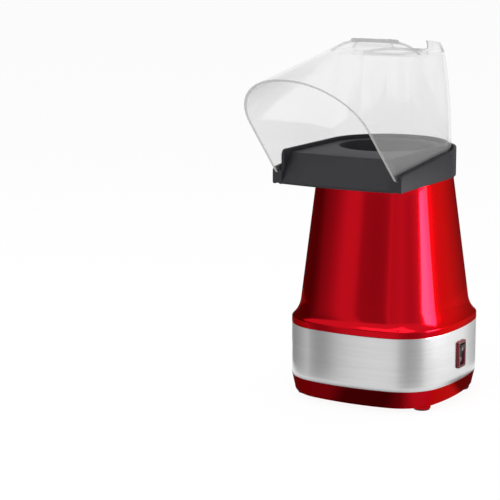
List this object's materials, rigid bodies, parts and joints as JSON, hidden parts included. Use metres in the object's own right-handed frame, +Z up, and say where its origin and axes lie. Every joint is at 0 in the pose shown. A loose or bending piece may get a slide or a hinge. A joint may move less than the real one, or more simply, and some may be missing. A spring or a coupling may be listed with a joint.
{
  "type": "popcorn maker",
  "caption": "Hot-air popcorn maker: tapered red body on a steel-banded base, with a blower, heater and popping chamber inside, a lift-off chute tray and a clear hooded dome.",
  "frame": {"origin": "on the table plane, under the upright axis that the body, fan and popping chamber share", "axes": "+Z up; -Y is the front, where the chute and the open mouth of the hood face; +X is the side with the power switch"},
  "size_m": [0.1447, 0.2513, 0.302],
  "materials": {
    "red_shell": "candy red, glossy with a metallic depth",
    "steel": "brushed along the band",
    "charcoal": "fine matte",
    "clear": "clear and polished",
    "black_plastic": "matte",
    "dark_red": "glossy",
    "rubber": "matte",
    "zinc_steel": "bright plated",
    "tin_plate": "satin",
    "cast_alloy": "satin",
    "heat_plastic": "matte, off-white",
    "mica": "layered, dull",
    "element": "oxidised",
    "silicone": "matte",
    "bronze": "sintered",
    "ferrite": "dull",
    "carbon": "dull",
    "copper": "bare",
    "board": "dull laminate",
    "bare_steel": "ground"
  },
  "bodies": {
    "base": {"upper_housing": "red_shell", "steel_band": "steel", "base_shell": "red_shell", "foot_pads": "rubber", "base_screws": "zinc_steel", "intake_grille": "black_plastic", "chassis_screws": "zinc_steel", "blower_housing": "heat_plastic", "motor_can": "tin_plate", "motor_end_cap": "black_plastic", "shaft_bushes": "bronze", "motor_magnets": "ferrite", "motor_brushes": "carbon", "motor_terminals": "copper", "rectifier_board": "board", "rectifier_diodes": "black_plastic", "motor_screws": "zinc_steel", "heater_frame": "mica", "heater_coil": "element", "air_duct": "tin_plate", "popping_chamber": "cast_alloy", "chamber_gasket": "silicone", "chamber_screws": "zinc_steel", "thermostat": "black_plastic", "thermal_fuse": "tin_plate", "switch_housing": "dark_red", "switch_terminals": "copper", "cord_bushing": "rubber"},
    "rotor": {"fan_impeller": "black_plastic", "motor_shaft": "bare_steel", "motor_armature": "bare_steel", "armature_windings": "copper", "commutator": "copper"},
    "rocker": {"switch_rocker": "black_plastic"},
    "tray": {"chute_tray": "charcoal"},
    "hood": {"dome": "clear"}
  },
  "joints": [
    {"name": "tray_lift", "type": "slide", "parent": "base", "child": "tray", "axis": [0, 0, 1], "range_m": [0, 0.15]},
    {"name": "dome_lift", "type": "slide", "parent": "tray", "child": "hood", "axis": [0, 0, 1], "range_m": [0, 0.12]},
    {"name": "switch_rock", "type": "hinge", "parent": "base", "child": "rocker", "pos_m": [0.0695, 0, 0.0407], "axis": [0, -1, 0], "range_deg": [0, 20]},
    {"name": "fan_spin", "type": "hinge", "parent": "base", "child": "rotor", "pos_m": [0, 0, 0.07], "axis": [0, 0, 1], "continuous": true}
  ]
}
